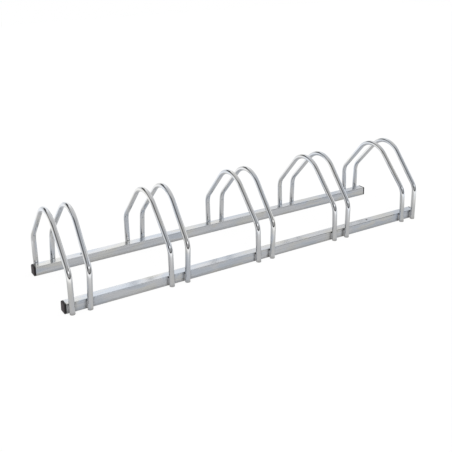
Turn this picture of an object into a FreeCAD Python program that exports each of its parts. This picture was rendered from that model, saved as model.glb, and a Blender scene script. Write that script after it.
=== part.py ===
"""Floor bike rack for five bikes: two square rails, ten bent tube hoops in pairs, welds and end caps.

Units are millimetres. +Z is up and the floor is z = 0. The origin is on the floor at the centre of the
footprint. X runs along the rails, and the front of the rack faces -Y.
"""
import FreeCAD, Part
import math
import os

from FreeCAD import Rotation, Vector

# ---- driving dimensions ------------------------------------------------------------------------------
# the whole rack
OVERALL_LENGTH = 1320.0      # from end cap to end cap
OVERALL_DEPTH = 330.0        # from the front legs' front to the rear legs' back
PLACES = 5                   # bikes side by side
OUTER_PLACE_FROM_END = 47.0  # from the rack's end to the middle of the outermost place

# the rails: square tube lying on the floor
RAIL_SIZE = 30.0
RAIL_WALL = 1.5
RAIL_CORNER_RADIUS = 2.5

# the floor-fixing holes: one near the left end of the rear rail, one near the right end of the front one
FIXING_HOLE_DIAMETER = 7.0
REAR_HOLE_FROM_LEFT_END = 150.0
FRONT_HOLE_FROM_RIGHT_END = 210.0

# the hoops: round tube bent in one plane, two to a place
HOOP_TUBE_DIAMETER = 16.0
HOOP_TUBE_WALL = 1.2
HOOP_SPACING_AT_FLOOR = 52.0   # between the centre lines of the two hoops of a place
HOOP_SPLAY_ANGLE = 1.5         # degrees that each hoop leans away from its neighbour
HOOP_HEIGHT = 260.0            # from the floor to the top of the arch
LEG_CORNER_HEIGHT = 119.0      # where the lines of the upright leg and the slanting arm cross
LEG_BEND_RADIUS = 50.0         # on the centre line, between leg and arm
ARCH_RADIUS = 82.0             # on the centre line, over the top

# the welds: four short seams to a hoop, in the grooves between its legs and the rails
WELD_ROOT_GAP = 0.2          # clearance between a leg and the rail that it is welded to
WELD_LENGTH = 22.0
WELD_INNER_EDGE = 3.2        # sideways from the leg's centre line to the root of the seam
WELD_OUTER_EDGE = 8.6        # sideways from the leg's centre line to the seam's toe on the rail
WELD_TOE_ANGLE = 30.0        # degrees round the leg, from sideways towards the rail, to the seam's toe on the leg
WELD_THROAT_BULGE = 0.35     # how far the seam's face stands out from a straight fillet

# the end caps: a flange over the rail's end and a ribbed plug inside it
CAP_FLANGE_THICKNESS = 8.0
CAP_FLANGE_CORNER_RADIUS = 3.5
CAP_EDGE_RADIUS = 2.5
CAP_PLUG_LENGTH = 14.0
CAP_PLUG_CLEARANCE = 0.6     # around the plug's body, inside the rail
CAP_PLUG_WALL = 2.0
CAP_RIB_COUNT = 3            # around the plug, one behind the other
CAP_RIB_WIDTH = 1.6
CAP_RIB_CLEARANCE = 0.1      # around the ribs, inside the rail

# ---- dimensions that follow --------------------------------------------------------------------------
TUBE_RADIUS = HOOP_TUBE_DIAMETER / 2
PLACE_PITCH = (OVERALL_LENGTH - 2 * OUTER_PLACE_FROM_END) / (PLACES - 1)
RAIL_LENGTH = OVERALL_LENGTH - 2 * CAP_FLANGE_THICKNESS
RAIL_HALF_LENGTH = RAIL_LENGTH / 2
RAIL_BORE = RAIL_SIZE - 2 * RAIL_WALL
RAIL_BORE_RADIUS = RAIL_CORNER_RADIUS - RAIL_WALL
LEG_OFFSET = OVERALL_DEPTH / 2 - TUBE_RADIUS                     # from the middle to a leg's centre line
RAIL_FACE = LEG_OFFSET - TUBE_RADIUS - WELD_ROOT_GAP             # outer face of a rail
RAIL_OFFSET = RAIL_FACE - RAIL_SIZE / 2                          # from the middle to a rail's centre line
ARCH_CENTRE_HEIGHT = HOOP_HEIGHT - TUBE_RADIUS - ARCH_RADIUS
LEAN = math.tan(math.radians(HOOP_SPLAY_ANGLE))                  # sideways travel per unit of height
FRONT, REAR = -1, 1
LEFT, RIGHT = -1, 1
END_OVERRUN = 5.0            # how far a cutting or trimmed solid runs past the face that ends it


def export(name, shape):
    """Write one node's STEP file, after checking that the shape is sound."""
    if not shape.isValid() or shape.Volume <= 0:
        raise ValueError(f"{name} isn't a sound solid")
    shape.exportStep(os.path.join("parts", f"{name}.step"))
    box = shape.optimalBoundingBox(False)
    size = f"{box.XLength:.1f} x {box.YLength:.1f} x {box.ZLength:.1f}"
    print(f"{name}: {len(shape.Solids)} solid(s), {size} mm, {shape.Volume:.0f} mm3")


def rounded_bar(x_start, length, side, corner_radius):
    """A square bar along +X from x_start, centred on the X axis, with its four long edges rounded."""
    bar = Part.makeBox(length, side, side, Vector(x_start, -side / 2, -side / 2))
    long_edges = [edge for edge in bar.Edges if abs(edge.tangentAt(edge.FirstParameter).x) > 0.99]
    return bar.makeFillet(corner_radius, long_edges)


# ---- rails -------------------------------------------------------------------------------------------
def make_rail(side, hole_x):
    """A square tube on the floor, with one fixing hole through its top and bottom walls."""
    outside = rounded_bar(-RAIL_HALF_LENGTH, RAIL_LENGTH, RAIL_SIZE, RAIL_CORNER_RADIUS)
    bore = rounded_bar(-RAIL_HALF_LENGTH - END_OVERRUN, RAIL_LENGTH + 2 * END_OVERRUN, RAIL_BORE, RAIL_BORE_RADIUS)
    hole_length = RAIL_SIZE + 2 * END_OVERRUN
    hole = Part.makeCylinder(FIXING_HOLE_DIAMETER / 2, hole_length, Vector(hole_x, 0, -hole_length / 2))
    rail = outside.cut(bore).cut(hole)
    rail.translate(Vector(0, side * RAIL_OFFSET, RAIL_SIZE / 2))
    return rail


# ---- hoops -------------------------------------------------------------------------------------------
def arm_geometry():
    """Where the slanting arm leaves the leg's bend and meets the arch, on the rear half (y > 0).

    The arm is the line through the leg's corner that touches the arch's circle. Returned are the arm's
    angle from the upright, and the points in the Y-Z plane where the bend starts and ends and where the
    arch begins.
    """
    rise = ARCH_CENTRE_HEIGHT - LEG_CORNER_HEIGHT
    to_centre = math.hypot(LEG_OFFSET, rise)
    arm_angle = math.atan2(LEG_OFFSET, rise) - math.asin(ARCH_RADIUS / to_centre)
    arm_length = math.sqrt(to_centre ** 2 - ARCH_RADIUS ** 2)
    bend_tangent = LEG_BEND_RADIUS * math.tan(arm_angle / 2)
    corner = Vector(0, LEG_OFFSET, LEG_CORNER_HEIGHT)
    along_arm = Vector(0, -math.sin(arm_angle), math.cos(arm_angle))
    bend_start = corner - Vector(0, 0, bend_tangent)
    bend_end = corner + along_arm * bend_tangent
    arch_start = corner + along_arm * arm_length
    return arm_angle, bend_start, bend_end, arch_start


def hoop_centre_line():
    """The hoop's centre line in the Y-Z plane: leg, bend, arm, arch, arm, bend, leg."""
    arm_angle, bend_start, bend_end, arch_start = arm_geometry()
    bend_centre = bend_start - Vector(0, LEG_BEND_RADIUS, 0)
    bend_middle = bend_centre + Vector(0, math.cos(arm_angle / 2), math.sin(arm_angle / 2)) * LEG_BEND_RADIUS
    foot = Vector(0, LEG_OFFSET, -END_OVERRUN)
    arch_top = Vector(0, 0, ARCH_CENTRE_HEIGHT + ARCH_RADIUS)

    def mirrored(point):
        return Vector(point.x, -point.y, point.z)

    return Part.Wire([
        Part.makeLine(foot, bend_start),
        Part.Arc(bend_start, bend_middle, bend_end).toShape(),
        Part.makeLine(bend_end, arch_start),
        Part.Arc(arch_start, arch_top, mirrored(arch_start)).toShape(),
        Part.makeLine(mirrored(arch_start), mirrored(bend_end)),
        Part.Arc(mirrored(bend_end), mirrored(bend_middle), mirrored(bend_start)).toShape(),
        Part.makeLine(mirrored(bend_start), mirrored(foot)),
    ])


def swept_round(centre_line, radius):
    """A round bar of this radius along the centre line, which starts upright at the rear foot."""
    start = centre_line.OrderedVertexes[0].Point
    ring = Part.Wire(Part.Circle(start, Vector(0, 0, 1), radius).toShape())
    return centre_line.makePipeShell([ring], True, False)


def leaning(shape, x_at_floor, lean_side):
    """The shape turned about its line on the floor by the splay angle, to its place along the rails."""
    placed = shape.copy()
    turn = Rotation(Vector(0, 1, 0), lean_side * HOOP_SPLAY_ANGLE)
    placed.Placement = FreeCAD.Placement(Vector(x_at_floor, 0, 0), turn)
    return placed


def make_hoop(x_at_floor, lean_side):
    """One bent tube, leaning by the splay angle, with its feet cut level with the floor."""
    centre_line = hoop_centre_line()
    tube = swept_round(centre_line, TUBE_RADIUS).cut(swept_round(centre_line, TUBE_RADIUS - HOOP_TUBE_WALL))
    tube = leaning(tube, x_at_floor, lean_side)
    below_floor = Part.makeBox(
        4 * HOOP_TUBE_DIAMETER, OVERALL_DEPTH + 2 * END_OVERRUN, 2 * END_OVERRUN,
        Vector(x_at_floor - 2 * HOOP_TUBE_DIAMETER, -OVERALL_DEPTH / 2 - END_OVERRUN, -2 * END_OVERRUN))
    return tube.cut(below_floor)


# ---- welds -------------------------------------------------------------------------------------------
def make_weld_seam(x_at_floor, lean_side, rail_side, seam_side):
    """One fillet seam between a leg and a rail's outer face, on one side of the leg.

    Its section is a four-sided shape that fills the groove: along the rail's face from root to toe, a
    slightly bulging face from the toe to the leg, and back inside the leg, which is then cut away.
    """
    def section_point(sideways, from_face):
        y = rail_side * (RAIL_FACE + from_face)
        return Vector(x_at_floor + seam_side * sideways, y, 0)

    leg_axis_from_face = LEG_OFFSET - RAIL_FACE
    toe_angle = math.radians(WELD_TOE_ANGLE)
    toe_on_leg_sideways = TUBE_RADIUS * math.cos(toe_angle)
    toe_on_leg_height = leg_axis_from_face - TUBE_RADIUS * math.sin(toe_angle)
    toe_on_rail = section_point(WELD_OUTER_EDGE, 0)
    toe_on_leg = section_point(toe_on_leg_sideways, toe_on_leg_height)
    face_middle = (toe_on_rail + toe_on_leg) * 0.5
    face_middle += Vector(seam_side, rail_side, 0) * (WELD_THROAT_BULGE / math.sqrt(2))
    root_on_rail = section_point(WELD_INNER_EDGE, 0)
    root_in_leg = section_point(WELD_INNER_EDGE, toe_on_leg_height)
    section = Part.Face(Part.Wire([
        Part.makeLine(root_on_rail, toe_on_rail),
        Part.Arc(toe_on_rail, face_middle, toe_on_leg).toShape(),
        Part.makeLine(toe_on_leg, root_in_leg),
        Part.makeLine(root_in_leg, root_on_rail),
    ]))
    up_the_leg = Vector(lean_side * LEAN, 0, 1)
    seam = section.extrude(up_the_leg * WELD_LENGTH)
    seam.translate(up_the_leg * ((RAIL_SIZE - WELD_LENGTH) / 2))
    leg = Part.makeCylinder(TUBE_RADIUS, 2 * RAIL_SIZE, Vector(0, rail_side * LEG_OFFSET, -RAIL_SIZE / 2))
    return seam.cut(leaning(leg, x_at_floor, lean_side))


def make_hoop_welds(x_at_floor, lean_side):
    """The four seams of one hoop, as separate solids."""
    seams = []
    for rail_side in (FRONT, REAR):
        for seam_side in (LEFT, RIGHT):
            seams += make_weld_seam(x_at_floor, lean_side, rail_side, seam_side).Solids
    return Part.makeCompound(seams)


# ---- end caps ----------------------------------------------------------------------------------------
def make_end_cap(end, rail_side):
    """A moulded cap at one end of one rail: flange, hollow plug and the ribs around the plug."""
    flange = rounded_bar(0, CAP_FLANGE_THICKNESS, RAIL_SIZE, CAP_FLANGE_CORNER_RADIUS)
    outer_rim = [edge for edge in flange.Edges if abs(edge.BoundBox.XMin - CAP_FLANGE_THICKNESS) < 1e-6]
    flange = flange.makeFillet(CAP_EDGE_RADIUS, outer_rim)

    plug_side = RAIL_BORE - 2 * CAP_PLUG_CLEARANCE
    plug = rounded_bar(-CAP_PLUG_LENGTH, CAP_PLUG_LENGTH, plug_side, RAIL_BORE_RADIUS)
    hollow_side = plug_side - 2 * CAP_PLUG_WALL
    hollow = rounded_bar(-CAP_PLUG_LENGTH - END_OVERRUN, CAP_PLUG_LENGTH + END_OVERRUN, hollow_side, RAIL_BORE_RADIUS)

    cap = flange.fuse(plug)
    rib_side = RAIL_BORE - 2 * CAP_RIB_CLEARANCE
    rib_pitch = CAP_PLUG_LENGTH / CAP_RIB_COUNT
    for rib in range(CAP_RIB_COUNT):
        rib_start = -(rib + 0.5) * rib_pitch - CAP_RIB_WIDTH / 2
        cap = cap.fuse(rounded_bar(rib_start, CAP_RIB_WIDTH, rib_side, RAIL_BORE_RADIUS))
    cap = cap.cut(hollow).removeSplitter()

    turn = Rotation(Vector(0, 0, 1), 0 if end == RIGHT else 180)
    place = Vector(end * RAIL_HALF_LENGTH, rail_side * RAIL_OFFSET, RAIL_SIZE / 2)
    cap.Placement = FreeCAD.Placement(place, turn)
    return cap.Solids[0]


# ---- the whole rack ----------------------------------------------------------------------------------
def main():
    os.makedirs("parts", exist_ok=True)

    export("front_rail", make_rail(FRONT, RAIL_HALF_LENGTH - FRONT_HOLE_FROM_RIGHT_END))
    export("rear_rail", make_rail(REAR, REAR_HOLE_FROM_LEFT_END - RAIL_HALF_LENGTH))

    for place in range(PLACES):
        place_x = (place - (PLACES - 1) / 2) * PLACE_PITCH
        for lean_side, side_name in ((LEFT, "left"), (RIGHT, "right")):
            hoop_x = place_x + lean_side * HOOP_SPACING_AT_FLOOR / 2
            name = f"hoop_{place + 1}_{side_name}"
            export(name, make_hoop(hoop_x, lean_side))
            export(f"{name}_welds", make_hoop_welds(hoop_x, lean_side))

    for rail_side, rail_name in ((FRONT, "front"), (REAR, "rear")):
        for end, end_name in ((LEFT, "left"), (RIGHT, "right")):
            export(f"end_cap_{rail_name}_{end_name}", make_end_cap(end, rail_side))


main()
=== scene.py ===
"""Floor bike rack: finished surfaces, studio and camera around the fixed frame.

Units are metres. +Z is up, the floor is z = 0, X runs along the rails and the rack's front faces -Y.
The two rails keep the frame's own meshes and get a plated finish. The hoops, the weld beads and the
end caps are built here over the frame's solids, from the sizes below.
"""
import functools
import math

import bmesh
import bpy
import numpy as np
from bpy.props import FloatProperty, FloatVectorProperty, PointerProperty
from mathutils import Matrix, Vector


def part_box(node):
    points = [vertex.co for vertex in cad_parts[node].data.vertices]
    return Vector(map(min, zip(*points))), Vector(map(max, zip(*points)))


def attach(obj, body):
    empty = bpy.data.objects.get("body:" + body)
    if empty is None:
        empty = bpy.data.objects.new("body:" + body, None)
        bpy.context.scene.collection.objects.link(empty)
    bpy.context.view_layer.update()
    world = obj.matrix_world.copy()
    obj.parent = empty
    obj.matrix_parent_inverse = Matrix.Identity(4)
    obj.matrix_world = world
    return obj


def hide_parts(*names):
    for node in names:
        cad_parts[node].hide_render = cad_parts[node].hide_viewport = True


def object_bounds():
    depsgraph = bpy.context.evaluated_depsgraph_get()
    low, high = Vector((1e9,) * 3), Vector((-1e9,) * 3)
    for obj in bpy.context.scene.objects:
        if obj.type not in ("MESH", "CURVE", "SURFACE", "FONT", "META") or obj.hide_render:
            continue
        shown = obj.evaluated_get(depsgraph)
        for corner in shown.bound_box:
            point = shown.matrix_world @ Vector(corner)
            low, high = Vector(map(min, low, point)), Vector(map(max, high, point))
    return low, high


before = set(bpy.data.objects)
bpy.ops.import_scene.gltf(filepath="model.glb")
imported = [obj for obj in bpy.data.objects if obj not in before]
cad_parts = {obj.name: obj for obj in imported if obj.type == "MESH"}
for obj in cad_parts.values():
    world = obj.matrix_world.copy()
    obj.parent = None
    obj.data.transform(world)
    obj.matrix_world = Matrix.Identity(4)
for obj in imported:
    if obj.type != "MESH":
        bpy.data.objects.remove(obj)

bl_info = {
    "name": "Floor bike rack",
    "version": (1, 0, 0),
    "blender": (4, 5, 0),
    "location": "3D View > Sidebar > Bike rack",
    "description": "Builds the tubes, welds, caps and finishes of a zinc-plated floor bike rack",
    "category": "Add Mesh",
}

CAD_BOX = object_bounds()
MM = 0.001
BODY = "root"
FRONT, REAR = -1, 1
LEFT, RIGHT = -1, 1
SIDES = {"left": LEFT, "right": RIGHT, "front": FRONT, "rear": REAR}

# ---- what the frame gives ----
HOOP_NODES = sorted(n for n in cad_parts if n.startswith("hoop_") and not n.endswith("_welds"))
CAP_NODES = sorted(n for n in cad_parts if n.startswith("end_cap_"))
RAIL_NODES = ("front_rail", "rear_rail")
HOOP_LOW, HOOP_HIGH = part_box("hoop_1_left")
RAIL_LOW, RAIL_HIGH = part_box("rear_rail")
RAIL_SIZE = RAIL_HIGH.z - RAIL_LOW.z
RAIL_HALF_LENGTH = RAIL_HIGH.x
CAP_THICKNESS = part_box("end_cap_rear_right")[1].x - RAIL_HALF_LENGTH
PLACE_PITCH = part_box("hoop_2_left")[0].x - HOOP_LOW.x


# ---- sizes and colours that a user would change ----
def length(name, description, default):
    """A length in metres, as a property."""
    return FloatProperty(name=name, description=description, default=default, min=0.0, precision=5,
                         subtype="DISTANCE", unit="LENGTH")


def share(name, description, default):
    """A share from 0 to 1, as a property."""
    return FloatProperty(name=name, description=description, default=default, min=0.0, max=1.0,
                         subtype="FACTOR")


def angle(name, description, degrees):
    """An angle, as a property whose default is given in degrees."""
    return FloatProperty(name=name, description=description, default=math.radians(degrees),
                         subtype="ANGLE", unit="ROTATION")


def colour(name, description, default):
    """A linear colour, as a property."""
    return FloatVectorProperty(name=name, description=description, default=default, size=3, min=0.0,
                               max=1.0, subtype="COLOR")


class RackSizes(bpy.types.PropertyGroup):
    """Sizes of the hoops, the welds and the end caps."""

    tube_diameter: length("Tube diameter", "Outside diameter of a hoop's tube", 16 * MM)
    tube_wall: length("Tube wall", "Thickness of the tube's wall", 1.2 * MM)
    splay: angle("Splay", "How far each hoop leans away from its neighbour", 1.5)
    leg_corner_height: length("Leg corner height", "Where the lines of leg and arm cross", 119 * MM)
    leg_bend_radius: length("Leg bend radius", "On the centre line, between leg and arm", 50 * MM)
    arch_radius: length("Arch radius", "On the centre line, over the top", 82 * MM)
    bend_flattening: share("Bend flattening", "How far the leg's bend squeezes the tube", 0.035)
    bend_wrinkle: length("Bend wrinkle", "Height of the ripples inside the leg's bend", 0.05 * MM)
    foot_burr: length("Foot burr", "Width of the broken edge where a foot is sawn off", 0.3 * MM)

    weld_length: length("Weld length", "Length of one weld, up the leg", 22 * MM)
    weld_toe_on_rail: length("Weld toe on rail", "Sideways from the leg's centre line", 8.6 * MM)
    weld_toe_angle: angle("Weld toe angle", "Round the leg, from sideways towards the rail", 30)
    weld_bulge: length("Weld bulge", "How far the bead stands out from its toes", 0.45 * MM)
    weld_ripple_pitch: length("Weld ripple pitch", "From one ripple of the bead to the next", 1.5 * MM)

    cap_thickness: length("Cap thickness", "Of the cap's flange, outside the rail", CAP_THICKNESS)
    cap_corner: length("Cap corner radius", "At the four long corners of the flange", 3.5 * MM)
    cap_edge: length("Cap edge radius", "Round the flange's outer face", 2.5 * MM)
    cap_crown: length("Cap crown", "How far the outer face bulges in its middle", 1.2 * MM)
    cap_plug_length: length("Cap plug length", "Of the plug inside the rail", 14 * MM)
    cap_plug_wall: length("Cap plug wall", "Thickness of the hollow plug's wall", 2 * MM)
    rail_wall: length("Rail wall", "Thickness of the rail's wall", 1.5 * MM)


class RackFinish(bpy.types.PropertyGroup):
    """Colours of the plated steel, the welds and the moulded caps."""

    zinc: colour("Zinc", "Clean plating on the rails", (0.821, 0.838, 0.868))
    tube_zinc: colour("Tube zinc", "Clean plating on the hoops", (0.833, 0.838, 0.848))
    zinc_blue: colour("Blue zinc", "Plating whose passive film is bluish", (0.725, 0.779, 0.858))
    zinc_straw: colour("Straw zinc", "Plating whose passive film is yellowish", (0.848, 0.841, 0.799))
    weld: colour("Weld", "Plating over a weld bead", (0.546, 0.533, 0.521))
    # partly heat tint, partly painted shade and painted reflection of the leg, laid on the rails beside
    # each weld
    weld_stain: colour("Weld stain", "Plating over heated metal beside a weld", (0.248, 0.236, 0.223))
    # darker, rougher plating towards the floor, in ragged patches
    grime: colour("Grime", "Dust and water marks near the floor", (0.372, 0.353, 0.329))
    streak: colour("Streaks", "Duller plating in lengthwise streaks", (0.558, 0.583, 0.626))
    plastic: colour("Cap plastic", "Moulded black plastic", (0.016, 0.014, 0.015))
    # also the painted sheen that lightens the caps' outer faces
    plastic_scuff_and_sheen: colour("Cap scuffs", "Plastic where it is rubbed", (0.155, 0.124, 0.136))


class RackStudio(bpy.types.PropertyGroup):
    """The floor, the lights and the camera."""

    floor_size: length("Floor size", "Side of the square floor", 12.0)
    lit_floor: length("Lit floor", "How far in front of the rack's middle the floor is lit", 0.78)
    camera_azimuth: angle("Camera azimuth", "Round the rack from straight in front", -31.414)
    camera_elevation: angle("Camera elevation", "Above the horizon", 14.767)
    camera_roll: angle("Camera roll", "About the line of sight", -0.385)
    camera_distance: length("Camera distance", "From the point that it is aimed at", 2.45273)
    camera_lens: FloatProperty(name="Camera lens", description="Focal length, in millimetres",
                               default=59.01, min=1.0, subtype="DISTANCE_CAMERA", unit="CAMERA")


# ---- mesh building ----
def ring_mesh(name, rings, closed):
    """A mesh from an array of rings of points, shape (rings, points round a ring, 3).

    Each four neighbouring points make a face. A closed shape joins its last ring to its first, and an
    open one has a flat face over each end. The faces are turned round if the signed volume, a sixth of
    the sum of the triple products of its triangles, comes out negative, so they always point outwards.
    """
    count, around = rings.shape[:2]
    first = np.arange(count if closed else count - 1)[:, None]
    here = np.arange(around)[None, :]
    after, beside = (first + 1) % count, (here + 1) % around
    quads = np.stack([first * around + here, after * around + here,
                      after * around + beside, first * around + beside], axis=-1).reshape(-1, 4)
    points = rings.reshape(-1, 3)
    a, b, c, d = (points[quads[:, corner]] for corner in range(4))
    volume = np.einsum("ij,ij->", a, np.cross(b, c)) + np.einsum("ij,ij->", a, np.cross(c, d))
    faces = quads.tolist()
    if not closed:
        faces += [list(range(around))[::-1], list(range((count - 1) * around, count * around))]
    if volume < 0:
        faces = [face[::-1] for face in faces]
    mesh = bpy.data.meshes.new(name)
    mesh.from_pydata(points.tolist(), [], faces)
    mesh.validate()
    mesh.shade_smooth()
    return mesh


def joined(name, meshes):
    """One mesh that holds several, whose own datablocks are removed."""
    whole = bmesh.new()
    for mesh in meshes:
        whole.from_mesh(mesh)
    result = bpy.data.meshes.new(name)
    whole.to_mesh(result)
    whole.free()
    for mesh in meshes:
        bpy.data.meshes.remove(mesh)
    return result


def add_piece(mesh, material, node):
    """Put a finished mesh in the scene, under its own name, in place of a node of the frame."""
    piece = bpy.data.objects.new(mesh.name, mesh)
    bpy.context.scene.collection.objects.link(piece)
    mesh.materials.append(material)
    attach(piece, BODY)
    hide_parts(node)
    return piece


def set_grain(mesh, grain):
    """Keep the place along and round the metal at each point, as an attribute that the finish reads."""
    attribute = mesh.attributes.new("grain", "FLOAT_VECTOR", "POINT")
    attribute.data.foreach_set("vector", grain.astype(np.float32).ravel())


# ---- hoops ----
HOOP_STEP = 2.0 * MM  # between two rings along a tube
HOOP_INSIDE_STEP = 5.0 * MM  # the same on the tube's inner wall
HOOP_AROUND = 40  # points round a ring
PATH_FINENESS = 6  # points of the centre line to one ring
BEND_EASING = 12 * MM  # the length over which a bend's squeeze comes and goes
WRINKLE_PITCH = 6 * MM  # from one ripple inside a bend to the next
FOOT_SHEAR_HEIGHT = 20 * MM  # up to here the rings turn level with the floor
GRAIN_SHIFT = 1.37  # from one hoop's pattern to the next
# a sawn foot's outline, in broken edges: the distance from the end, and from the wall's own face
RIM_OUTSIDE = np.array(((1.2, 0.0), (0.45, 0.12), (0.12, 0.45), (0.0, 1.1)))
RIM_INSIDE = np.array(((0.0, 0.8), (0.3, 0.0), (1.2, 0.0)))
RIM_REACH = 3  # the same, from the end to the first ring of the plain wall


def leg_offset(sizes):
    """From the middle of the rack to a leg's centre line."""
    return (HOOP_HIGH.y - HOOP_LOW.y) / 2 - sizes.tube_diameter / 2


def hoop_foot_x(node, sizes):
    """Where a hoop's plane meets the floor: its foot is the side of its box towards its neighbour."""
    low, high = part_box(node)
    half_foot = sizes.tube_diameter / 2 / math.cos(sizes.splay)
    return high.x - half_foot if node.endswith("left") else low.x + half_foot


def hoop_path(sizes):
    """Distance travelled, heading, curvature and place of the centre line in the hoop's own plane.

    The line starts at the rear foot and ends at the front one. Its heading, from upright, stays the
    same along a straight stretch and turns evenly with the distance along an arc. The place is the
    running sum of minus its sine, sideways, and its cosine, upwards.
    """
    offset = leg_offset(sizes)
    radius = sizes.tube_diameter / 2
    hoop_height = (HOOP_HIGH.z - radius) / math.cos(sizes.splay) + radius
    rise = hoop_height - radius - sizes.arch_radius - sizes.leg_corner_height
    to_centre = math.hypot(offset, rise)
    arm_angle = math.atan2(offset, rise) - math.asin(sizes.arch_radius / to_centre)
    tangent = sizes.leg_bend_radius * math.tan(arm_angle / 2)
    leg = sizes.leg_corner_height - tangent
    bend = sizes.leg_bend_radius * arm_angle
    arm = math.sqrt(to_centre ** 2 - sizes.arch_radius ** 2) - tangent
    arch = sizes.arch_radius * (math.pi - 2 * arm_angle)

    stretches = np.array([leg, bend, arm, arch, arm, bend, leg])
    ends = np.concatenate(([0.0], np.cumsum(stretches)))
    turned_back = math.pi - arm_angle
    turned = np.array([0, 0, arm_angle, arm_angle, turned_back, turned_back, math.pi, math.pi])
    travelled = np.linspace(0.0, ends[-1], PATH_FINENESS * int(ends[-1] / HOOP_STEP))
    heading = np.interp(travelled, ends, turned)
    step = travelled[1] - travelled[0]

    def running_sum(values):
        return np.concatenate(([0.0], np.cumsum((values[1:] + values[:-1]) / 2 * step)))

    easing = np.hanning(int(BEND_EASING / step))
    curvature = np.convolve(np.gradient(heading, step), easing / easing.sum(), mode="same")
    sideways = offset - running_sum(np.sin(heading))
    upwards = running_sum(np.cos(heading))
    return travelled, heading, curvature, sideways, upwards


def hoop_rings(sizes):
    """Distance along the tube and radius of each ring: outer wall, front rim, inner wall, rear rim.

    Both rims follow the same short outline from the outer wall over the broken edge to the bore.
    """
    outer, inner = sizes.tube_diameter / 2, sizes.tube_diameter / 2 - sizes.tube_wall
    burr = sizes.foot_burr
    total = hoop_path(sizes)[0][-1]
    from_end = np.concatenate((RIM_OUTSIDE, RIM_INSIDE))[:, 0] * burr
    rim_radius = np.concatenate((outer - RIM_OUTSIDE[:, 1] * burr, inner + RIM_INSIDE[:, 1] * burr))
    start = RIM_REACH * burr
    outside = np.arange(start, total - start, HOOP_STEP)
    inside = np.arange(total - start, start, -HOOP_INSIDE_STEP)
    along = np.concatenate((outside, total - from_end, inside, from_end[::-1]))
    radius = np.concatenate((np.full(outside.size, outer), rim_radius,
                             np.full(inside.size, inner), rim_radius[::-1]))
    return along, radius


def make_hoop_mesh(name, foot_x, lean, sizes, grain_start):
    """One bent tube with sawn-off feet.

    At each ring the section is a circle carried on the centre line. Where the line curves the circle is
    squeezed across the bend and widened along it, in proportion to the curvature, and its inner half
    has faint ripples. Near the feet the rings shear until the last one lies level on the floor. The
    whole hoop is then turned about its line on the floor by the splay.
    """
    travelled, heading_line, curvature_line, sideways_line, upwards_line = hoop_path(sizes)
    along, radius = hoop_rings(sizes)
    heading, curvature, sideways, upwards = (
        np.interp(along, travelled, line)[:, None]
        for line in (heading_line, curvature_line, sideways_line, upwards_line))
    along, radius = along[:, None], radius[:, None]
    around = np.linspace(0, 2 * math.pi, HOOP_AROUND, endpoint=False)[None, :]

    squeeze = sizes.bend_flattening * curvature * sizes.leg_bend_radius
    inner_half = np.clip(-np.cos(around), 0, 1) ** 2
    wrinkle = np.sin(along * 2 * math.pi / WRINKLE_PITCH)
    ripple = sizes.bend_wrinkle * squeeze / sizes.bend_flattening * wrinkle
    across = radius * (1 - squeeze) * np.cos(around) - ripple * inner_half
    level = radius * (1 + squeeze / 2) * np.sin(around)

    y = sideways + across * np.cos(heading)
    z = upwards + across * np.sin(heading)
    lean_angle = lean * sizes.splay
    near_foot = np.clip(1 - z / FOOT_SHEAR_HEIGHT, 0, 1)
    z = z + level * math.tan(lean_angle) * near_foot
    x = foot_x + level * math.cos(lean_angle) + z * math.sin(lean_angle)
    z = z * math.cos(lean_angle) - level * math.sin(lean_angle)

    mesh = ring_mesh(name, np.stack(np.broadcast_arrays(x, y, z), axis=-1), closed=True)
    grain = np.stack(np.broadcast_arrays(across, level, along + grain_start), axis=-1)
    set_grain(mesh, grain.reshape(-1, 3))
    return mesh


# ---- welds ----
WELD_RINGS = 64
WELD_AROUND = 20
WELD_ROUNDNESS = 0.55  # half-depth of the bead's ellipse as a share of its half-width
WELD_TOE_OVERLAP = 0.35 * MM  # how far each toe runs over the tube
WELD_RUN_OUT = 5  # the power with which the bead keeps its width and then ends
WELD_TIP = 0.02  # the share of its width that it ends with
RIPPLE_LAG = 0.3  # how far a crest trails in the bead's middle, in ripples
RIPPLE_HEIGHT = 0.09  # as a share of the bead's depth
SWELL_HEIGHT = 0.05  # of the slow swell along the bead, as the same share
SWELL_TURN = 9  # radians of the swell from one end to the other


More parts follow.
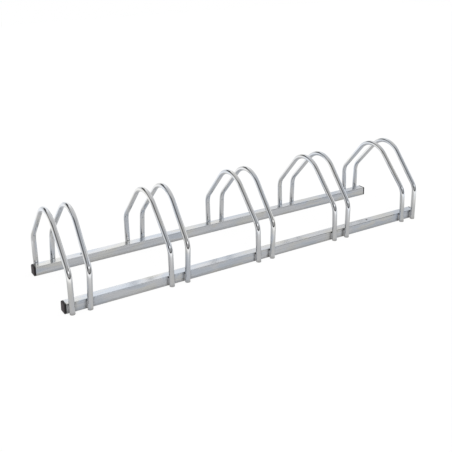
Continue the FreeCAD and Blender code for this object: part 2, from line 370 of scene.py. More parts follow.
def make_weld_mesh(name, foot_x, lean, rail_side, seam_side, sizes):
    """One weld bead in the groove between a leg and a rail.

    Its section is an ellipse that lies across the groove from the toe on the rail to the toe on the
    leg. Up the leg both its half-widths swell and sink with the ripples, whose crests lag behind in
    the middle of the bead as crescents do, and they run out at both ends along a root curve.
    """
    rail_face = RAIL_HIGH.y
    radius = sizes.tube_diameter / 2
    axis_from_face = leg_offset(sizes) - rail_face
    toe_on_rail = np.array([sizes.weld_toe_on_rail, 0.0])
    toe_on_leg = np.array([radius * math.cos(sizes.weld_toe_angle),
                           axis_from_face - radius * math.sin(sizes.weld_toe_angle)])
    span = toe_on_leg - toe_on_rail
    half_span = np.hypot(*span) / 2
    up_face = span / (2 * half_span)
    outward = np.array([up_face[1], -up_face[0]])
    depth = WELD_ROUNDNESS * half_span
    centre = (toe_on_rail + toe_on_leg) / 2 - outward * (depth - sizes.weld_bulge)

    share_up = np.linspace(0.0, 1.0, WELD_RINGS)[:, None]
    around = np.linspace(0, 2 * math.pi, WELD_AROUND, endpoint=False)[None, :]
    run_out = np.sqrt(np.clip(1 - np.abs(2 * share_up - 1) ** WELD_RUN_OUT, WELD_TIP ** 2, 1))
    crest = share_up * sizes.weld_length / sizes.weld_ripple_pitch - RIPPLE_LAG * np.sin(around)
    swell = SWELL_HEIGHT * np.sin(share_up * SWELL_TURN + seam_side)
    ripple = RIPPLE_HEIGHT * np.abs(np.sin(math.pi * crest)) + swell
    along_span = (half_span + WELD_TOE_OVERLAP) * run_out * (1 + ripple / 2) * np.cos(around)
    out_of_face = depth * run_out * (1 + ripple) * np.sin(around)
    sideways = centre[0] + up_face[0] * along_span + outward[0] * out_of_face
    from_face = centre[1] + up_face[1] * along_span + outward[1] * out_of_face

    z = (RAIL_SIZE - sizes.weld_length) / 2 + share_up * sizes.weld_length + 0 * around
    x = foot_x + math.tan(sizes.splay) * lean * z + seam_side * sideways
    y = rail_side * (rail_face + from_face)
    return ring_mesh(name, np.stack([x, y, z], axis=-1), closed=False)


# ---- end caps ----
CAP_ARC_POINTS = 9
CAP_SIDE_POINTS = 7
CAP_EDGE_POINTS = 8
CAP_CROWN_POINTS = 12
CAP_RIBS = 3
RIB_CLEARANCE = 0.1 * MM  # between the ribs and the rail's bore
PLUG_CLEARANCE = 0.6 * MM  # between the plug's wall and the rail's bore
BROKEN_EDGE = 0.4 * MM  # of the plug's mouth and the flange's inner edge
PLUG_CORNER = 1.0 * MM
NEAR_AXIS = 0.1 * MM  # half side of the small flat that closes each end of the profile
# a rib's outline: the distance from its middle, and whether the point is on its crest
RIB_OUTLINE = ((-1.1 * MM, False), (-0.6 * MM, True), (0.5 * MM, True), (0.8 * MM, False))
ROUNDEST_CORNER = 0.95  # of a ring near the axis, as a share of its half side
CAP_SHARP_ANGLE = math.radians(40)


def rounded_square_template():
    """Two arrays that give any rounded square as (half side - corner) * core + corner * normal.

    The core walks round a square whose half side is 1, and the normal turns only at its corners, where
    the core stands still.
    """
    cores, normals = [], []
    for quarter in range(4):
        turn = np.linspace(0, math.pi / 2, CAP_ARC_POINTS) + quarter * math.pi / 2
        corner = math.sqrt(2) * np.array([math.cos((quarter + 0.5) * math.pi / 2),
                                          math.sin((quarter + 0.5) * math.pi / 2)])
        next_corner = np.array([-corner[1], corner[0]])
        cores.append(np.tile(corner, (CAP_ARC_POINTS, 1)))
        normals.append(np.stack([np.cos(turn), np.sin(turn)], axis=1))
        step = np.linspace(0, 1, CAP_SIDE_POINTS + 2)[1:-1, None]
        cores.append(corner + (next_corner - corner) * step)
        normals.append(np.tile(normals[-1][-1], (CAP_SIDE_POINTS, 1)))
    return np.concatenate(cores), np.concatenate(normals)


def cap_profile(sizes):
    """Place along the rail, half side and corner radius of the cap's rings, from bore to crown.

    The line runs from the middle of the plug's hollow out to its wall, round the plug's open end,
    over the ribs, under the flange, up its side, round its edge and over the crown to the middle of
    the outer face. The crown is a parabola.
    """
    bore = RAIL_SIZE / 2 - sizes.rail_wall
    rib, plug = bore - RIB_CLEARANCE, bore - PLUG_CLEARANCE
    hollow = plug - sizes.cap_plug_wall
    half, mouth = RAIL_SIZE / 2, -sizes.cap_plug_length
    inside = [(0.0, NEAR_AXIS), (0.0, hollow - PLUG_CORNER), (-PLUG_CORNER, hollow),
              (mouth + BROKEN_EDGE, hollow), (mouth, hollow + BROKEN_EDGE),
              (mouth, plug - BROKEN_EDGE), (mouth + BROKEN_EDGE, plug)]
    pitch = sizes.cap_plug_length / CAP_RIBS
    middles = [-(number + 0.5) * pitch for number in range(CAP_RIBS)[::-1]]
    ribs = [(middle + off, rib if crest else plug) for middle in middles for off, crest in RIB_OUTLINE]
    under = [(0.0, plug), (0.0, half - BROKEN_EDGE), (BROKEN_EDGE, half)]
    turn = np.linspace(0, math.pi / 2, CAP_EDGE_POINTS)
    edge_start = sizes.cap_thickness - sizes.cap_crown - sizes.cap_edge
    edge = np.stack([edge_start + sizes.cap_edge * np.sin(turn),
                     half - sizes.cap_edge * (1 - np.cos(turn))], axis=1)
    flat = half - sizes.cap_edge
    inwards = np.linspace(flat, NEAR_AXIS, CAP_CROWN_POINTS)[1:]
    crown = np.stack([edge[-1, 0] + sizes.cap_crown * (1 - (inwards / flat) ** 2), inwards], axis=1)
    line = np.concatenate((np.array(inside + ribs + under), edge, crown))
    corner = np.where(line[:, 1] > bore, sizes.cap_corner, PLUG_CORNER)
    return line[:, 0], line[:, 1], np.minimum(corner, line[:, 1] * ROUNDEST_CORNER)


def make_cap_mesh(name, end, rail_side, sizes):
    """A moulded end cap: rounded squares of the profile's sizes, carried along the rail's axis."""
    along, half_side, corner = cap_profile(sizes)
    core, normal = rounded_square_template()
    section = (half_side - corner)[:, None, None] * core + corner[:, None, None] * normal
    rail_middle = (RAIL_LOW.y + RAIL_HIGH.y) / 2
    x = end * (RAIL_HALF_LENGTH + along)[:, None] + 0 * section[:, :, 0]
    y = rail_side * rail_middle + section[:, :, 0]
    z = RAIL_SIZE / 2 + section[:, :, 1]
    mesh = ring_mesh(name, np.stack([x, y, z], axis=-1), closed=False)
    mesh.set_sharp_from_angle(angle=CAP_SHARP_ANGLE)
    return mesh


# ---- shader building ----
# Where a noise takes a place, its scale is in patterns to the metre. A ramp over a noise starts and
# ends at values of the noise, which spread about 0.5.


def fill(tree, socket, value):
    """Link another node's output to a socket, or set the socket to a constant."""
    if isinstance(value, bpy.types.NodeSocket):
        tree.links.new(value, socket)
    else:
        socket.default_value = value


def add_node(tree, kind, settings=None, **inputs):
    """Add a shader node, set its properties and fill or link its inputs, named by their labels.

    An underscore stands for a blank, and a number at the end of a label is its place among equals.
    """
    node = tree.nodes.new("ShaderNode" + kind)
    for key, value in (settings or {}).items():
        setattr(node, key, value)
    for key, value in inputs.items():
        label, _, place = key.partition("__")
        matches = [s for s in node.inputs if s.name == label.replace("_", " ") and s.enabled]
        fill(tree, matches[int(place or 0)], value)
    return node


def maths(tree, operation, *values):
    """The result of one sum on one or more numbers or sockets."""
    inputs = {f"Value__{place}": value for place, value in enumerate(values)}
    node = add_node(tree, "Math", {"operation": operation}, **inputs)
    return node.outputs[0]


def ramp(tree, value, low, high, to_low=0.0, to_high=1.0):
    """The value carried smoothly from one range to another, and held at its ends."""
    return add_node(tree, "MapRange", {"interpolation_type": "SMOOTHSTEP"}, Value=value,
                    From_Min=low, From_Max=high, To_Min=to_low, To_Max=to_high).outputs[0]


def mixed(tree, share_of_second, first, second, kind="RGBA"):
    """Two colours mixed, or two numbers if the kind is FLOAT."""
    node = add_node(tree, "Mix", {"data_type": kind}, Factor=share_of_second, A=first, B=second)
    return next(output for output in node.outputs if output.enabled)


def noise(tree, vector, scale, detail=2.0, roughness=0.5, distortion=0.0):
    """The value of a noise pattern, about 0.5 on average."""
    return add_node(tree, "TexNoise", Vector=vector, Scale=scale, Detail=detail,
                    Roughness=roughness, Distortion=distortion).outputs[0]


def vector_maths(tree, operation, *values):
    """The result of one sum on one or more vectors."""
    inputs = {f"Vector__{place}": value for place, value in enumerate(values)}
    node = add_node(tree, "VectorMath", {"operation": operation}, **inputs)
    return node.outputs["Value" if operation == "LENGTH" else "Vector"]


def drawn_out(tree, grain, width, length_along):
    """A place along and round the metal, for a pattern that is wider one way than the other."""
    across, along = (maths(tree, "DIVIDE", 1.0, size) for size in (width, length_along))
    scale = add_node(tree, "CombineXYZ", X=across, Y=across, Z=along).outputs[0]
    return vector_maths(tree, "MULTIPLY", grain, scale)


def parts_of(tree, vector):
    """The three outputs X, Y and Z of a vector."""
    return add_node(tree, "SeparateXYZ", Vector=vector).outputs


def product(tree, first, second):
    """Two numbers or sockets multiplied."""
    return maths(tree, "MULTIPLY", first, second)


def total(tree, *values):
    """Numbers or sockets added up."""
    return functools.reduce(lambda first, second: maths(tree, "ADD", first, second), values)


def group_name(build):
    """What the node group that a function builds is called."""
    return build.__name__.removesuffix("_group").replace("_", " ").capitalize()


def new_group(build, inputs, outputs):
    """An empty node group with named sockets, each given as (label, kind[, default])."""
    group = bpy.data.node_groups.new(group_name(build), "ShaderNodeTree")
    for label, kind, *default in inputs:
        socket = group.interface.new_socket(label, in_out="INPUT", socket_type="NodeSocket" + kind)
        if default:
            socket.default_value = default[0]
    for label, kind in outputs:
        group.interface.new_socket(label, in_out="OUTPUT", socket_type="NodeSocket" + kind)
    return group, group.nodes.new("NodeGroupInput").outputs, group.nodes.new("NodeGroupOutput").inputs


def opaque(rgb):
    """A colour with full alpha."""
    return (*rgb, 1.0)


def grey(level):
    """A grey with full alpha."""
    return opaque((level, level, level))


def plating_tone_group():
    """Clouds of bluish and yellowish passive film on zinc, drawn out along the metal."""
    group, given, gives = new_group(
        plating_tone_group,
        [("Grain", "Vector"), ("Clean", "Color"), ("Blue", "Color"), ("Straw", "Color"),
         ("Patch Length", "Float", 0.12), ("Patch Width", "Float", 0.03),
         ("Blue Amount", "Float", 0.8), ("Straw Amount", "Float", 0.5)],
        [("Colour", "Color"), ("Cloud", "Float")])
    place = drawn_out(group, given["Grain"], given["Patch Width"], given["Patch Length"])
    blue = ramp(group, noise(group, place, 1.0, 3.0, 0.55, 0.4), 0.45, 0.59)
    moved = vector_maths(group, "ADD", place, (7.3, 2.9, 11.7))
    straw = ramp(group, noise(group, moved, 1.3, 3.0, 0.6, 0.6), 0.50, 0.63)
    tone = mixed(group, product(group, blue, given["Blue Amount"]), given["Clean"], given["Blue"])
    tone = mixed(group, product(group, straw, given["Straw Amount"]), tone, given["Straw"])
    group.links.new(tone, gives["Colour"])
    group.links.new(maths(group, "MAXIMUM", blue, straw), gives["Cloud"])
    return group


def drawn_lines_group():
    """Fine lines that the drawing die leaves along the metal, and a slow waviness under them."""
    group, given, gives = new_group(
        drawn_lines_group,
        [("Grain", "Vector"), ("Line Width", "Float", 0.0006), ("Line Length", "Float", 0.05),
         ("Wave Width", "Float", 0.009), ("Wave Length", "Float", 0.14)],
        [("Lines", "Float"), ("Waves", "Float")])
    lines, waves = (drawn_out(group, given["Grain"], given[f"{kind} Width"], given[f"{kind} Length"])
                    for kind in ("Line", "Wave"))
    lines = noise(group, lines, 1.0, 4.0, 0.6)
    waves = noise(group, waves, 1.0, 1.0)
    group.links.new(lines, gives["Lines"])
    group.links.new(waves, gives["Waves"])
    return group


def handling_scratches_group():
    """Thin handling scratches: the lines where a warped noise crosses its own mean, kept in places."""
    group, given, gives = new_group(
        handling_scratches_group,
        [("Place", "Vector"), ("Spacing", "Float", 0.02), ("Width", "Float", 0.006),
         ("Amount", "Float", 0.3)],
        [("Mask", "Float")])
    scale = maths(group, "DIVIDE", 1.0, given["Spacing"])
    level = noise(group, given["Place"], scale, 1.0, 0.5, 1.5)
    off_mean = maths(group, "ABSOLUTE", maths(group, "SUBTRACT", level, 0.5))
    line = add_node(group, "MapRange", Value=off_mean, From_Min=0.0,
                    From_Max=given["Width"], To_Min=1.0, To_Max=0.0).outputs[0]
    patch = ramp(group, noise(group, given["Place"], product(group, scale, 3.1), 2.0), 0.50, 0.62)
    group.links.new(product(group, product(group, line, patch), given["Amount"]), gives["Mask"])
    return group


def floor_grime_group():
    """Darker towards the floor, in a ragged band that thins out upwards."""
    group, given, gives = new_group(
        floor_grime_group,
        [("Place", "Vector"), ("Reach", "Float", 0.012), ("Amount", "Float", 0.5)],
        [("Mask", "Float")])
    height = parts_of(group, given["Place"])["Z"]
    ragged = product(group, noise(group, given["Place"], 160.0, 4.0, 0.6), given["Reach"])
    share_up = maths(group, "DIVIDE", height, product(group, ragged, 2.0))
    fading = ramp(group, share_up, 0.0, 1.0, 1.0, 0.0)
    group.links.new(product(group, fading, given["Amount"]), gives["Mask"])
    return group


WELD_SHADE_CORE = 4 * MM  # the painted shade and heat tint beside a leg are full this close to its centre line
WELD_SHADE_RAGGEDNESS = 8 * MM  # how far noise moves its edges either way


def weld_stain_group():
    """Darker band beside every leg on the rails' outer faces: heat tint, and painted shade and leg
    reflection.

    The legs stand in pairs at equal distances from the middle of their place. Wrapping X at the pitch
    gives X within a place, and its distance from the leg makes the band.
    """
    group, given, gives = new_group(
        weld_stain_group,
        [("Place", "Vector"), ("Pitch", "Float", 0.3), ("Leg From Middle", "Float", 0.026),
         ("Reach", "Float", 0.02), ("Outer Face", "Float", 0.147), ("Amount", "Float", 0.6)],
        [("Mask", "Float")])
    parts = parts_of(group, given["Place"])
    half = product(group, given["Pitch"], 0.5)
    in_place = maths(group, "WRAP", parts["X"], half, product(group, half, -1.0))
    from_leg = maths(group, "ABSOLUTE", maths(group, "SUBTRACT", maths(group, "ABSOLUTE", in_place),
                                              given["Leg From Middle"]))
    ragged = product(group, noise(group, given["Place"], 130.0, 3.0, 0.6), 2 * WELD_SHADE_RAGGEDNESS)
    near = ramp(group, total(group, from_leg, ragged), WELD_SHADE_CORE + WELD_SHADE_RAGGEDNESS,
                total(group, given["Reach"], WELD_SHADE_RAGGEDNESS), 1.0, 0.0)
    outside = maths(group, "GREATER_THAN", maths(group, "ABSOLUTE", parts["Y"]), given["Outer Face"])
    group.links.new(product(group, product(group, near, outside), given["Amount"]), gives["Mask"])
    return group


def use_group(tree, build, **inputs):
    """Place a node group with its own values, built the first time that it is asked for."""
    node = add_node(tree, "Group")
    node.node_tree = bpy.data.node_groups.get(group_name(build)) or build()
    for key, value in inputs.items():
        fill(tree, node.inputs[key.replace("_", " ")], value)
    return node.outputs


def new_material(name):
    """A material with only its output node."""
    material = bpy.data.materials.new(name)
    material.use_nodes = True
    tree = material.node_tree
    tree.nodes.clear()
    return material, tree, add_node(tree, "OutputMaterial").inputs["Surface"]


def finish_mixed(tree, surface, share_of_second, first, second):
    """Give a material or the world a mix of two shaders."""
    mix = add_node(tree, "MixShader")
    for value, socket in zip((share_of_second, first, second), mix.inputs):
        tree.links.new(value, socket)
    tree.links.new(mix.outputs[0], surface)


def finish_surface(tree, surface, tone, roughness, height, **others):
    """Give a material its shader, with a bump from a height in metres."""
    normal = add_node(tree, "Bump", Strength=1.0, Distance=1.0, Height=height).outputs[0]
    shader = add_node(tree, "BsdfPrincipled", Base_Color=tone, Roughness=roughness,
                      Normal=normal, **others)
    tree.links.new(shader.outputs[0], surface)


def object_place(tree):
    """Object coordinates."""
    return add_node(tree, "TexCoord").outputs["Object"]


def hoop_grain(tree):
    """The place along and round a tube, kept on its mesh."""
    node = add_node(tree, "Attribute")
    node.attribute_name = "grain"
    return node.outputs["Vector"]


def rail_grain(tree):
    """Object coordinates turned so that the third axis runs along the rail."""
    parts = parts_of(tree, object_place(tree))
    turned = add_node(tree, "CombineXYZ", X=parts["Y"], Y=parts["Z"], Z=parts["X"])
    return turned.outputs[0]


# ---- finishes ----
STREAK_WIDTH, STREAK_LENGTH = 3 * MM, 160 * MM
LEG_FROM_MIDDLE = 26 * MM  # from the middle of a place to a leg's centre line
WELD_SHADE_SKIN = 1.5 * MM  # the painted shade and heat tint lie no deeper than this behind a rail's outer face
CLOUD_ROUGHNESS, LINE_ROUGHNESS, NEAR_FLOOR_ROUGHNESS = 0.03, 0.04, 0.35  # what each adds at most
WELD_PIT_DEPTH = 0.12 * MM
PLASTIC_GRAIN_DEPTH = 0.05 * MM
SHEEN_START, SHEEN_FULL = 3 * MM, 1 * MM  # where the painted sheen on a cap's outer face starts and is full, behind its outermost point


def zinc_finish(name, finish, clean, grain_of, polish, line_depth, wave_depth, patch_length,
                patch_width, blue_amount, straw_amount, streak_amount, weld_stain):
    """Bright zinc plating on drawn steel: tinted film, streaks, drawn lines, scratches, darkening
    towards the floor, and painted shade with heat tint beside the welds.

    The polish is the roughness of clean metal, and the depths are those of the lines and the waves.
    """
    material, tree, surface = new_material(name)
    place, grain = object_place(tree), grain_of(tree)
    tone = use_group(tree, plating_tone_group, Grain=grain,
                     Clean=opaque(clean), Blue=opaque(finish.zinc_blue),
                     Straw=opaque(finish.zinc_straw), Patch_Length=patch_length,
                     Patch_Width=patch_width, Blue_Amount=blue_amount, Straw_Amount=straw_amount)
    drawn = use_group(tree, drawn_lines_group, Grain=grain)
    scratch = use_group(tree, handling_scratches_group, Place=place)["Mask"]
    grime = use_group(tree, floor_grime_group, Place=place)["Mask"]

    streaks = use_group(tree, drawn_lines_group, Grain=grain,
                        Line_Width=STREAK_WIDTH, Line_Length=STREAK_LENGTH)["Lines"]
    streaks = ramp(tree, streaks, 0.45, 0.72, 0.0, streak_amount)
    colour_now = mixed(tree, streaks, tone["Colour"], opaque(finish.streak))
    # darker towards the floor
    colour_now = mixed(tree, grime, colour_now, opaque(finish.grime))
    # painted shade and reflection of the legs on the rails beside the welds, together with their heat
    # tint
    if weld_stain:
        tint_and_shade = use_group(tree, weld_stain_group, Place=place, Pitch=PLACE_PITCH,
                          Leg_From_Middle=LEG_FROM_MIDDLE, Outer_Face=RAIL_HIGH.y - WELD_SHADE_SKIN,
                          Amount=weld_stain)["Mask"]
        colour_now = mixed(tree, tint_and_shade, colour_now, opaque(finish.weld_stain))
    roughness = total(tree, polish, product(tree, tone["Cloud"], CLOUD_ROUGHNESS),
                      product(tree, drawn["Lines"], LINE_ROUGHNESS),
                      product(tree, grime, NEAR_FLOOR_ROUGHNESS))
    height = total(tree, product(tree, drawn["Lines"], line_depth),
                   product(tree, drawn["Waves"], wave_depth), product(tree, scratch, -line_depth))
    finish_surface(tree, surface, colour_now, roughness, height, Metallic=1.0)
    return material


def weld_finish(name, finish):
    """Plating over a weld bead: duller, mottled and finely pitted."""
    material, tree, surface = new_material(name)
    place = object_place(tree)
    mottle = noise(tree, place, 700.0, 4.0, 0.6)
    tone = mixed(tree, ramp(tree, mottle, 0.35, 0.65), opaque(finish.weld), opaque(finish.zinc))
    # darker towards the floor
    grime = use_group(tree, floor_grime_group, Place=place)["Mask"]
    tone = mixed(tree, grime, tone, opaque(finish.grime))
    pits = product(tree, noise(tree, place, 3000.0, 3.0, 0.6), WELD_PIT_DEPTH)
    roughness = ramp(tree, mottle, 0.2, 0.8, 0.32, 0.55)
    finish_surface(tree, surface, tone, roughness, pits, Metallic=1.0)
    return material


def plastic_finish(name, finish):
    """Black moulded plastic with a fine spark-eroded grain and scuffs, and a painted sheen in clouds on
    the outer faces.
    """
    material, tree, surface = new_material(name)
    place = object_place(tree)
    scuffs = use_group(tree, handling_scratches_group, Place=place, Spacing=0.006,
                       Width=0.03, Amount=0.9)["Mask"]
    # painted sheen: clouds of lighter plastic on the outer face, with the scuffs
    clouds = ramp(tree, noise(tree, place, 220.0, 4.0, 0.65), 0.45, 0.75, 0.4, 1.0)
    along = parts_of(tree, place)["X"]
    outermost = CAD_BOX[1].x
    painted_sheen_face = ramp(tree, maths(tree, "ABSOLUTE", along), outermost - SHEEN_START, outermost - SHEEN_FULL)
    scuffs_and_sheen = maths(tree, "MAXIMUM", product(tree, scuffs, 0.3), product(tree, clouds, painted_sheen_face))
    tone = mixed(tree, scuffs_and_sheen, opaque(finish.plastic), opaque(finish.plastic_scuff_and_sheen))
    grain = product(tree, noise(tree, place, 3500.0, 3.0, 0.5), PLASTIC_GRAIN_DEPTH)
    roughness = ramp(tree, scuffs_and_sheen, 0.0, 1.0, 0.42, 0.6)
    finish_surface(tree, surface, tone, roughness, grain, Specular_IOR_Level=0.37)
    return material


def finish_named(name):
    """One of the rack's materials, made the first time that it is asked for."""
    finish = bpy.context.scene.bike_rack_finish
    makers = {
        "plated tube": lambda: zinc_finish(
            name, finish, finish.tube_zinc, hoop_grain, polish=0.04, line_depth=0.004 * MM,
            wave_depth=0.06 * MM, patch_length=90 * MM, patch_width=20 * MM, blue_amount=0.7,
            straw_amount=0.6, streak_amount=0.25, weld_stain=0.0),
        "plated rail": lambda: zinc_finish(
            name, finish, finish.zinc, rail_grain, polish=0.18, line_depth=0.012 * MM,
            wave_depth=0.12 * MM, patch_length=150 * MM, patch_width=45 * MM, blue_amount=1.0,
            straw_amount=0.8, streak_amount=0.6, weld_stain=0.75),
        "plated weld": lambda: weld_finish(name, finish),
        "moulded plastic": lambda: plastic_finish(name, finish),
    }
    return bpy.data.materials.get(name) or makers[name]()


# ---- studio ----
def studio_panel_group():
    """A soft-edged patch of light in the surroundings, from its middle and half-sizes in degrees."""
    group, given, gives = new_group(
        studio_panel_group,
        [("Azimuth", "Float"), ("Elevation", "Float"), ("Middle Azimuth", "Float"),
         ("Middle Elevation", "Float"), ("Half Width", "Float", 30.0), ("Half Height", "Float", 10.0),
         ("Feather", "Float", 8.0)],
        [("Mask", "Float")])
    off = maths(group, "SUBTRACT", given["Azimuth"], given["Middle Azimuth"])
    sideways = maths(group, "ABSOLUTE", maths(group, "WRAP", off, 180.0, -180.0))
    off = maths(group, "SUBTRACT", given["Elevation"], given["Middle Elevation"])
    upwards = maths(group, "ABSOLUTE", off)

    def inside(distance, half_size):
        inner = maths(group, "SUBTRACT", half_size, given["Feather"])
        outer = total(group, half_size, given["Feather"])
        return ramp(group, distance, inner, outer, 1.0, 0.0)

    across, upright = inside(sideways, given["Half Width"]), inside(upwards, given["Half Height"])
    group.links.new(product(group, across, upright), gives["Mask"])
    return group


# each panel's values for these sockets, in degrees, and its brightness
PANEL_SOCKETS = ("Middle_Azimuth", "Middle_Elevation", "Half_Width", "Half_Height", "Feather")
STUDIO_PANELS = {
    "front_wall": (1.0, 23.0, 63.0, 31.5, 12.0, 0.4),
    "window_on_the_right": (74.0, 21.5, 12.5, 9.0, 6.0, 1.33),
    "back_wall_on_the_right": (128.0, 26.0, 31.0, 45.0, 14.0, 0.69),
    "backdrop": (168.0, 12.0, 19.5, 47.0, 14.0, 1.0),
    "white_floor_on_the_left": (-142.0, -10.5, 44.5, 22.5, 8.0, 0.83),
    "black_flag_at_the_back": (-160.0, 31.5, 26.0, 12.5, 6.0, 0.065),
    "black_flag_on_the_left": (-99.0, 32.0, 39.0, 10.0, 6.0, 0.13),
    "black_flag_above": (-69.0, 48.0, 20.5, 8.5, 6.0, 0.097),
    "dark_corner_on_the_left": (-53.0, 10.5, 23.0, 16.0, 8.0, 0.024),
    "dark_doorway_in_front": (-2.0, 3.0, 60.0, 8.0, 4.0, 0.32),
    "soft_box": (6.0, 26.0, 28.0, 6.0, 4.0, 1.17),
    "dark_gap_beside_the_soft_box": (46.0, 18.0, 9.0, 24.0, 4.0, 0.081),
}
CEILING_BRIGHTNESS = 0.57

FLOOR_GLOW = 0.89  # beside the light that the floor scatters
FLOOR_PAPER = (0.155, 0.15)  # its two tones
DARK_FLOOR = 0.05  # the share of its light that the unlit floor keeps, in reflections
FLOOR_FEATHER = 0.2  # half the width of the edge between lit and dark floor
SHADE_FROM, SHADE_TO = 0.08, 0.32  # distance from the rack over which its shade ends
SHADE_DEPTH = 0.47  # the share of its light that the floor keeps there, in reflections


def straight_and_glossy_rays(tree):
    """Whether a ray comes from the camera or through glass, and whether from a reflection."""
    ray = add_node(tree, "LightPath").outputs
    straight = maths(tree, "MAXIMUM", ray["Is Camera Ray"], ray["Is Transmission Ray"])
    return straight, ray["Is Glossy Ray"]


def build_world():
    """White to the camera, through glass and where the metal mirrors the backdrop; else a studio.

    The studio is a grey ceiling and walls, a lit floor behind the rack, a soft box and a window, and
    dark corners and black flags that draw the tubes' dark streaks.
    """
    world = bpy.data.worlds.new("studio")
    bpy.context.scene.world = world
    world.use_nodes = True
    tree = world.node_tree
    tree.nodes.clear()
    towards = parts_of(tree, add_node(tree, "TexCoord").outputs["Generated"])
    frontwards = product(tree, towards["Y"], -1.0)
    azimuth = maths(tree, "DEGREES", maths(tree, "ARCTAN2", towards["X"], frontwards))
    elevation = maths(tree, "DEGREES", maths(tree, "ARCSINE", towards["Z"]))
    level, backdrop = CEILING_BRIGHTNESS, 0.0
    for name, (*shape, brightness) in STUDIO_PANELS.items():
        mask = use_group(tree, studio_panel_group, Azimuth=azimuth, Elevation=elevation,
                         **dict(zip(PANEL_SOCKETS, shape)))["Mask"]
        if name == "backdrop":
            backdrop = mask
            continue
        level = mixed(tree, mask, level, brightness, "FLOAT")
        backdrop = mixed(tree, mask, backdrop, 0.0, "FLOAT")
    studio, plain = (add_node(tree, "Background", Color=grey(1.0), Strength=strength).outputs[0]
                     for strength in (level, 1.0))
    straight, glossy = straight_and_glossy_rays(tree)
    white_share = maths(tree, "MAXIMUM", straight, product(tree, glossy, backdrop))
    surface = add_node(tree, "OutputWorld").inputs["Surface"]
    finish_mixed(tree, surface, white_share, studio, plain)


def floor_finish(studio):
    """White floor with a faint shadow of the rack.

    In reflections it is shaded beside the rack and ends in the dark in front.
    """
    material, tree, surface = new_material("studio_floor")
    place = object_place(tree)
    edge = -studio.lit_floor
    lit = ramp(tree, parts_of(tree, place)["Y"], edge - FLOOR_FEATHER, edge + FLOOR_FEATHER,
               DARK_FLOOR, 1.0)
    beside = vector_maths(tree, "SUBTRACT", vector_maths(tree, "ABSOLUTE", place), tuple(CAD_BOX[1]))
    beside = vector_maths(tree, "MAXIMUM", beside, (0.0, 0.0, 0.0))
    away = vector_maths(tree, "LENGTH", beside)
    shade = ramp(tree, away, SHADE_FROM, SHADE_TO, SHADE_DEPTH, 1.0)
    tone = mixed(tree, noise(tree, place, 35.0, 3.0), *(grey(level) for level in FLOOR_PAPER))

    def glow_and_diffuse(glow, diffuse_colour):
        light = add_node(tree, "Emission", Color=grey(1.0), Strength=glow)
        diffuse = add_node(tree, "BsdfDiffuse", Color=diffuse_colour)
        both = add_node(tree, "AddShader", Shader__0=light.outputs[0], Shader__1=diffuse.outputs[0])
        return both.outputs[0]

    lit_tone = mixed(tree, lit, grey(0.0), tone)
    to_camera = glow_and_diffuse(FLOOR_GLOW, tone)
    to_others = glow_and_diffuse(product(tree, product(tree, lit, shade), FLOOR_GLOW), lit_tone)
    finish_mixed(tree, surface, straight_and_glossy_rays(tree)[0], to_others, to_camera)
    return material


# ---- operators ----
class RACK_OT_make_hoops(bpy.types.Operator):
    """Build the ten bent tubes over the frame's hoops"""
    bl_idname = "bike_rack.make_hoops"
    bl_label = "Hoops"

    def execute(self, context):
        sizes = context.scene.bike_rack_sizes
        for number, node in enumerate(HOOP_NODES):
            lean = SIDES[node.rsplit("_", 1)[1]]
            mesh = make_hoop_mesh(f"{node}_tube", hoop_foot_x(node, sizes), lean, sizes,
                                  grain_start=number * GRAIN_SHIFT)
            add_piece(mesh, finish_named("plated tube"), node)
        return {"FINISHED"}


class RACK_OT_make_welds(bpy.types.Operator):
    """Lay a rippled weld bead on both sides of every leg"""
    bl_idname = "bike_rack.make_welds"
    bl_label = "Weld beads"

    def execute(self, context):
        sizes = context.scene.bike_rack_sizes
        for node in HOOP_NODES:
            lean = SIDES[node.rsplit("_", 1)[1]]
            foot_x = hoop_foot_x(node, sizes)
            beads = [make_weld_mesh("bead", foot_x, lean, rail_side, seam_side, sizes)
                     for rail_side in (FRONT, REAR) for seam_side in (LEFT, RIGHT)]
            mesh = joined(f"{node}_weld_beads", beads)
            add_piece(mesh, finish_named("plated weld"), f"{node}_welds")
        return {"FINISHED"}


class RACK_OT_make_caps(bpy.types.Operator):
    """Build the four moulded end caps, each with its ribbed plug inside the rail"""
    bl_idname = "bike_rack.make_caps"
    bl_label = "End caps"

    def execute(self, context):
        sizes = context.scene.bike_rack_sizes
        for node in CAP_NODES:
            rail_name, end_name = node.split("_")[-2:]
            mesh = make_cap_mesh(f"{node}_moulding", SIDES[end_name], SIDES[rail_name], sizes)
            add_piece(mesh, finish_named("moulded plastic"), node)
        return {"FINISHED"}


class RACK_OT_finish_rails(bpy.types.Operator):
    """Give the two square rails their plated finish"""
    bl_idname = "bike_rack.finish_rails"
    bl_label = "Rails"

    def execute(self, context):
        for node in RAIL_NODES:
            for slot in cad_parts[node].material_slots:
                slot.material = finish_named("plated rail")
        return {"FINISHED"}


SUN_ENERGY = 1.1
SUN_WIDTH = 50  # degrees, which makes its shadows soft
SUN_TILT = (18, -14, 0)  # degrees from straight down


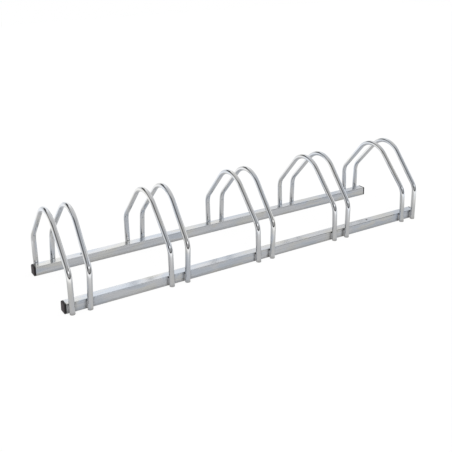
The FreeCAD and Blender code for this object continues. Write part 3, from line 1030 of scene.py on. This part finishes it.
class RACK_OT_make_stage(bpy.types.Operator):
    """Lay the floor and light the studio"""
    bl_idname = "bike_rack.make_stage"
    bl_label = "Stage"

    def execute(self, context):
        studio = context.scene.bike_rack_studio
        half = studio.floor_size / 2
        mesh = bpy.data.meshes.new("studio_floor")
        corners = [(-half, -half, 0), (half, -half, 0), (half, half, 0), (-half, half, 0)]
        mesh.from_pydata(corners, [], [(0, 1, 2, 3)])
        mesh.materials.append(floor_finish(studio))
        floor = bpy.data.objects.new("studio_floor", mesh)
        context.scene.collection.objects.link(floor)
        build_world()

        light = bpy.data.lights.new("overhead_light", "SUN")
        light.energy = SUN_ENERGY
        light.angle = math.radians(SUN_WIDTH)
        lamp = bpy.data.objects.new("overhead_light", light)
        lamp.rotation_euler = [math.radians(tilt) for tilt in SUN_TILT]
        lamp.visible_glossy = False
        context.scene.collection.objects.link(lamp)
        context.scene.view_settings.view_transform = "Standard"
        return {"FINISHED"}


CAMERA_AIM = Vector((0.00710, 0.08915, 0.40222))  # on the line of sight, at the camera's distance
CAMERA_SHIFT_Y = -0.2345  # the share of the frame that the view is lowered by
CAMERA_SENSOR = 36.0  # millimetres


class RACK_OT_set_camera(bpy.types.Operator):
    """Place the camera in front and to the left of the rack"""
    bl_idname = "bike_rack.set_camera"
    bl_label = "Camera"

    def execute(self, context):
        studio = context.scene.bike_rack_studio
        azimuth, elevation, roll = studio.camera_azimuth, studio.camera_elevation, studio.camera_roll
        level_back = Vector((math.sin(azimuth), -math.cos(azimuth), 0.0))
        level_right = Vector((math.cos(azimuth), math.sin(azimuth), 0.0))
        back = level_back * math.cos(elevation) + Vector((0.0, 0.0, math.sin(elevation)))
        level_up = back.cross(level_right)
        right = level_right * math.cos(roll) + level_up * math.sin(roll)
        up = level_up * math.cos(roll) - level_right * math.sin(roll)
        place = Matrix((right, up, back)).transposed().to_4x4()
        place.translation = CAMERA_AIM + back * studio.camera_distance

        data = bpy.data.cameras.new("camera")
        data.sensor_width = CAMERA_SENSOR
        data.lens = studio.camera_lens
        data.shift_y = CAMERA_SHIFT_Y
        data.clip_start, data.clip_end = 0.05, 50.0
        camera = bpy.data.objects.new("camera", data)
        camera.matrix_world = place
        context.scene.collection.objects.link(camera)
        context.scene.camera = camera
        return {"FINISHED"}


OPERATORS = (RACK_OT_make_hoops, RACK_OT_make_welds, RACK_OT_make_caps, RACK_OT_finish_rails,
             RACK_OT_make_stage, RACK_OT_set_camera)
GROUPS = {"bike_rack_sizes": RackSizes, "bike_rack_finish": RackFinish, "bike_rack_studio": RackStudio}


class RACK_PT_panel(bpy.types.Panel):
    """Everything that the rack is made of, in the order in which it is made"""
    bl_idname = "RACK_PT_panel"
    bl_label = "Floor bike rack"
    bl_space_type = "VIEW_3D"
    bl_region_type = "UI"
    bl_category = "Bike rack"

    def draw(self, context):
        for operator in OPERATORS:
            self.layout.operator(operator.bl_idname)
        for name, group in GROUPS.items():
            box = self.layout.box()
            for key in group.__annotations__:
                box.prop(getattr(context.scene, name), key)


def register():
    for cls in (*GROUPS.values(), *OPERATORS, RACK_PT_panel):
        bpy.utils.register_class(cls)
    for name, group in GROUPS.items():
        setattr(bpy.types.Scene, name, PointerProperty(type=group))


def unregister():
    for name in GROUPS:
        delattr(bpy.types.Scene, name)
    for cls in reversed((*GROUPS.values(), *OPERATORS, RACK_PT_panel)):
        bpy.utils.unregister_class(cls)


def main():
    """Build the whole scene."""
    register()
    bpy.ops.bike_rack.make_hoops()
    bpy.ops.bike_rack.make_welds()
    bpy.ops.bike_rack.make_caps()
    bpy.ops.bike_rack.finish_rails()
    bpy.ops.bike_rack.make_stage()
    bpy.ops.bike_rack.set_camera()


if __name__ == "__main__":
    main()
